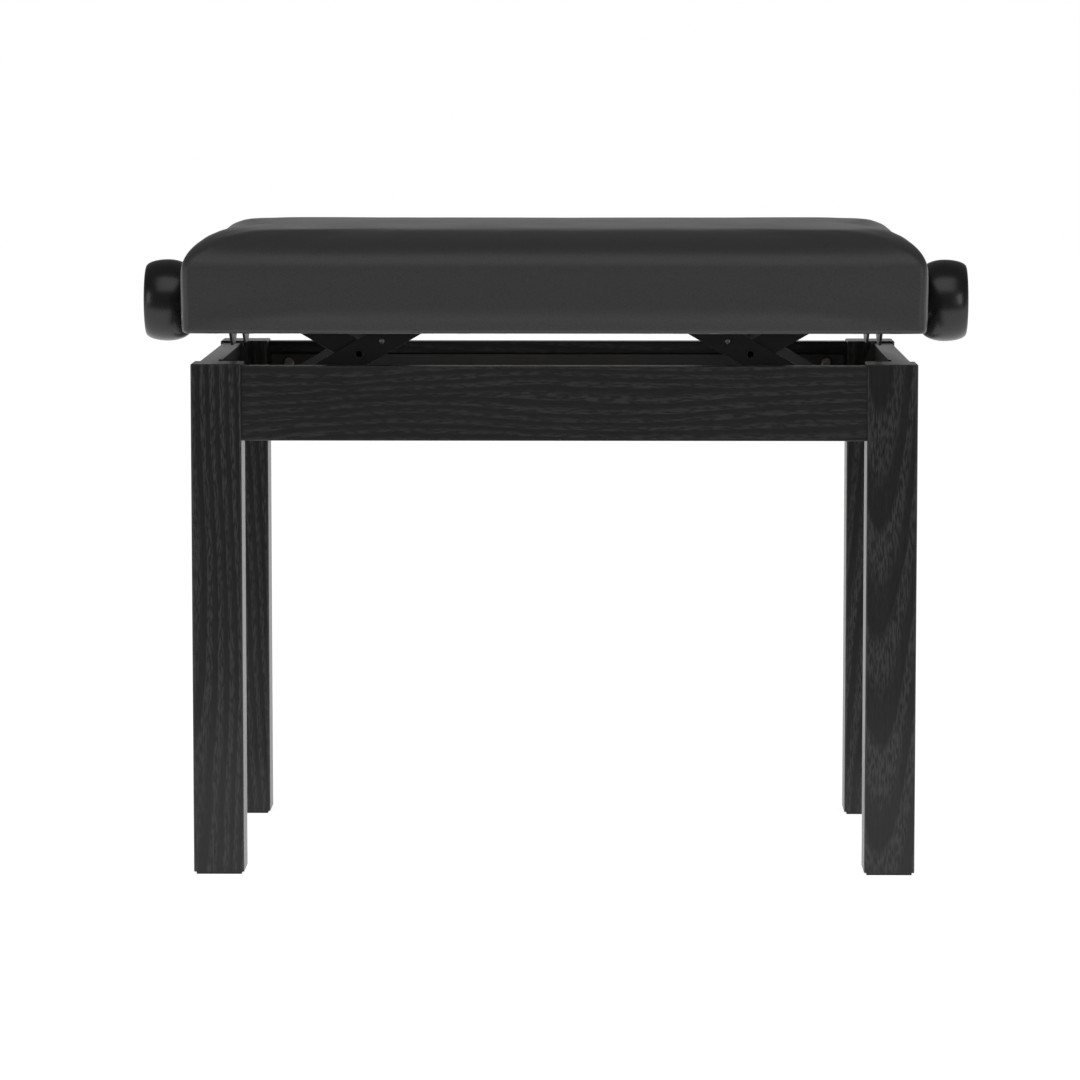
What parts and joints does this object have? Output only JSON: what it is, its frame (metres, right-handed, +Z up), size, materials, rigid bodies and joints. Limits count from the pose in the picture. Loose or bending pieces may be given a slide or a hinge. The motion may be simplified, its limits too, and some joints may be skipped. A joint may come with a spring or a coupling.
{
  "type": "piano bench",
  "caption": "Height-adjustable bench with a padded seat on a scissor lift, a square-legged wooden frame and a knob at each end.",
  "frame": {"origin": "on the floor under the middle of the bench", "axes": "+X to the right along the seat, +Y to the rear, +Z up"},
  "size_m": [0.641, 0.34, 0.485],
  "materials": {
    "black_wood": "black open-pore stain with fine vertical grain, satin",
    "beech": "plain unfinished beech",
    "plywood": "unfinished birch plywood",
    "foam": "soft upholstery foam",
    "leatherette": "matte black leatherette with fine pebble grain",
    "black_steel": "satin black powder coat on sheet steel",
    "zinc_steel": "dull zinc-plated steel",
    "spindle_steel": "turned and oiled steel",
    "knob_plastic": "satin black moulded plastic",
    "foot_plastic": "matte black plastic"
  },
  "bodies": {
    "base": {"front_left_leg": "black_wood", "front_right_leg": "black_wood", "rear_left_leg": "black_wood", "rear_right_leg": "black_wood", "foot_pads": "foot_plastic", "front_rail": "black_wood", "rear_rail": "black_wood", "left_side_rail": "black_wood", "right_side_rail": "black_wood", "rail_dowels": "beech", "corner_blocks": "beech", "leg_studs": "zinc_steel", "leg_stud_nuts": "zinc_steel", "lower_front_bar": "black_steel", "lower_rear_bar": "black_steel", "lower_left_end_bar": "black_steel", "lower_right_end_bar": "black_steel", "frame_screws": "zinc_steel", "lower_pivot_rods": "black_steel", "lower_spacers": "black_steel"},
    "left_arm": {"left_arm_front_plate": "black_steel", "left_arm_rear_plate": "black_steel", "left_arm_tube": "black_steel", "left_centre_rod": "black_steel"},
    "left_link": {"left_link_front_plate": "black_steel", "left_link_rear_plate": "black_steel", "left_link_tube": "black_steel"},
    "left_nut_carrier": {"left_nut": "zinc_steel", "left_nut_pins": "zinc_steel", "left_nut_clips": "zinc_steel"},
    "right_arm": {"right_arm_front_plate": "black_steel", "right_arm_rear_plate": "black_steel", "right_arm_tube": "black_steel", "right_centre_rod": "black_steel"},
    "right_link": {"right_link_front_plate": "black_steel", "right_link_rear_plate": "black_steel", "right_link_tube": "black_steel"},
    "right_nut_carrier": {"right_nut": "zinc_steel", "right_nut_pins": "zinc_steel", "right_nut_clips": "zinc_steel"},
    "seat": {"seat_cover": "leatherette", "seat_foam": "foam", "side_padding": "foam", "seat_board": "plywood", "seat_long_aprons": "plywood", "seat_short_aprons": "plywood", "upper_front_rail": "black_steel", "upper_rear_rail": "black_steel", "left_spindle_bracket": "black_steel", "right_spindle_bracket": "black_steel", "upper_pivot_pins": "zinc_steel", "upper_spacers": "black_steel", "spindle_bushes": "foot_plastic", "seat_screws": "zinc_steel"},
    "spindle_and_knobs": {"spindle": "spindle_steel", "spindle_collars": "zinc_steel", "knob_washers": "knob_plastic", "left_knob": "knob_plastic", "right_knob": "knob_plastic", "knob_set_screws": "zinc_steel"}
  },
  "joints": [
    {"name": "left_arm_hinge", "type": "hinge", "parent": "base", "child": "left_arm", "pos_m": [-0.21, 0, 0.3545], "axis": [0, -1, 0], "range_deg": [-8.5, 38]},
    {"name": "left_link_hinge", "type": "hinge", "parent": "left_arm", "child": "left_link", "pos_m": [-0.14851, 0, 0.39], "axis": [0, -1, 0], "range_deg": [-77, 18]},
    {"name": "seat_hinge", "type": "hinge", "parent": "left_link", "child": "seat", "pos_m": [-0.21, 0, 0.4255], "axis": [0, -1, 0], "range_deg": [-9, 38.5]},
    {"name": "left_nut_hinge", "type": "hinge", "parent": "left_arm", "child": "left_nut_carrier", "pos_m": [-0.08702, 0, 0.4255], "axis": [0, -1, 0], "range_deg": [-38.5, 9]},
    {"name": "right_arm_hinge", "type": "hinge", "parent": "base", "child": "right_arm", "pos_m": [0.21, 0, 0.3545], "axis": [0, 1, 0], "range_deg": [-9, 38.5]},
    {"name": "right_link_hinge", "type": "hinge", "parent": "right_arm", "child": "right_link", "pos_m": [0.14851, 0, 0.39], "axis": [0, 1, 0], "range_deg": [-77, 18]},
    {"name": "right_nut_hinge", "type": "hinge", "parent": "right_arm", "child": "right_nut_carrier", "pos_m": [0.08702, 0, 0.4255], "axis": [0, 1, 0], "range_deg": [-38.5, 9]},
    {"name": "spindle_turn", "type": "hinge", "parent": "seat", "child": "spindle_and_knobs", "pos_m": [0, 0, 0.4255], "axis": [1, 0, 0], "continuous": true}
  ],
  "couplings": [
    {"joint": "left_link_hinge", "follows": "left_arm_hinge", "ratio": -2},
    {"joint": "seat_hinge", "follows": "left_arm_hinge", "ratio": 1},
    {"joint": "left_nut_hinge", "follows": "left_arm_hinge", "ratio": -1},
    {"joint": "right_arm_hinge", "follows": "left_arm_hinge", "ratio": 1},
    {"joint": "right_link_hinge", "follows": "left_arm_hinge", "ratio": -2},
    {"joint": "right_nut_hinge", "follows": "left_arm_hinge", "ratio": -1},
    {"joint": "spindle_turn", "follows": "left_arm_hinge", "ratio": 101.84}
  ]
}
